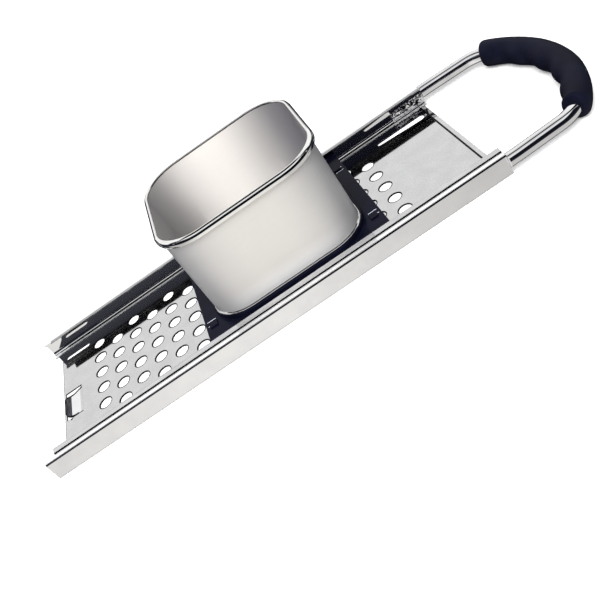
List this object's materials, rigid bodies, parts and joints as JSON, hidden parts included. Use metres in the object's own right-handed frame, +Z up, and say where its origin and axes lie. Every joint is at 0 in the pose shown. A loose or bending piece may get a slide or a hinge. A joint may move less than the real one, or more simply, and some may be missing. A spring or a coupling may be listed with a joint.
{
  "type": "spaetzle maker",
  "caption": "Flat perforated steel tray with side rails and a U-shaped handle with a soft grip; an open-ended steel hopper in a dark sliding frame runs along the rails.",
  "frame": {"origin": "on the resting surface, under the middle of the whole object's box", "axes": "+X from the tray's open front end to the grip, +Y across the tray, +Z up"},
  "size_m": [0.3612, 0.1232, 0.069],
  "materials": {
    "polished_steel": "mirror polished stainless steel",
    "satin_steel": "finely brushed stainless steel",
    "weld": "weld seam",
    "dark_plastic": "glossy dark plastic",
    "grip_rubber": "smooth dark rubber"
  },
  "bodies": {
    "tray": {"slicing_plate": "polished_steel", "stop_tongue": "polished_steel", "left_wall": "polished_steel", "right_wall": "polished_steel", "left_flange": "polished_steel", "right_flange": "polished_steel", "handle_tube": "polished_steel", "handle_grip": "grip_rubber", "tube_welds": "weld"},
    "carriage": {"carriage_frame": "dark_plastic", "clamp_frame": "dark_plastic", "frame_clips": "dark_plastic", "hopper": "satin_steel"}
  },
  "joints": [
    {"name": "carriage_slide", "type": "slide", "parent": "tray", "child": "carriage", "axis": [1, 0, 0], "range_m": [-0.091, 0.042]}
  ]
}
